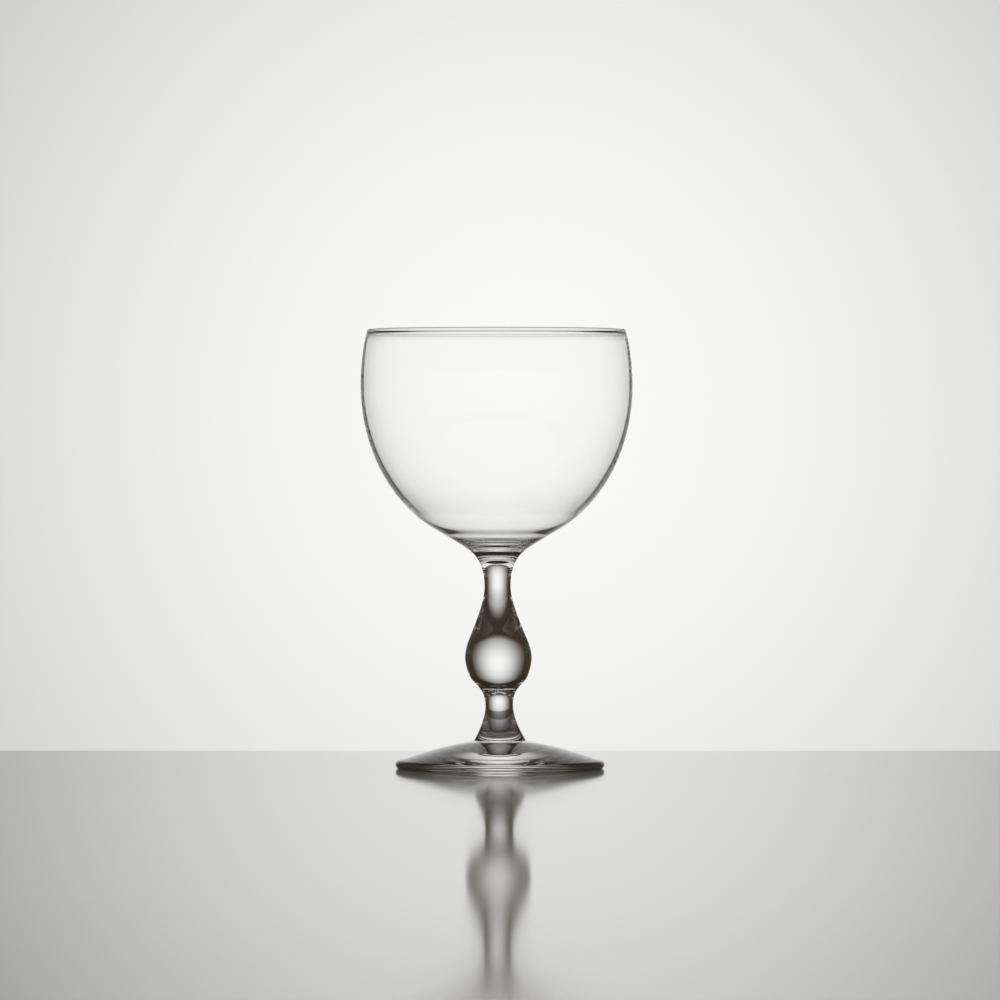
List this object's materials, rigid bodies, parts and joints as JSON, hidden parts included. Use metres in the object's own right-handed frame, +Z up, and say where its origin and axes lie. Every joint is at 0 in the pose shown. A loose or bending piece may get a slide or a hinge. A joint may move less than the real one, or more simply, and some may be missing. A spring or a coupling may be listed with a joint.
{
  "type": "stemmed drinking glass",
  "caption": "Clear hand-made stemmed glass: a round blown bowl, a baluster stem with a ball knop, and a broad disc foot.",
  "frame": {"origin": "middle of the ring under the foot that the glass stands on", "axes": "+Z up along the glass's axis, from the foot to the mouth; the glass is round, so X and Y are alike"},
  "size_m": [0.0906, 0.0906, 0.1465],
  "materials": {
    "clear_glass": "fire-polished, smooth and clear"
  },
  "bodies": {
    "root": {"bowl": "clear_glass", "stem": "clear_glass", "foot": "clear_glass"}
  },
  "joints": []
}
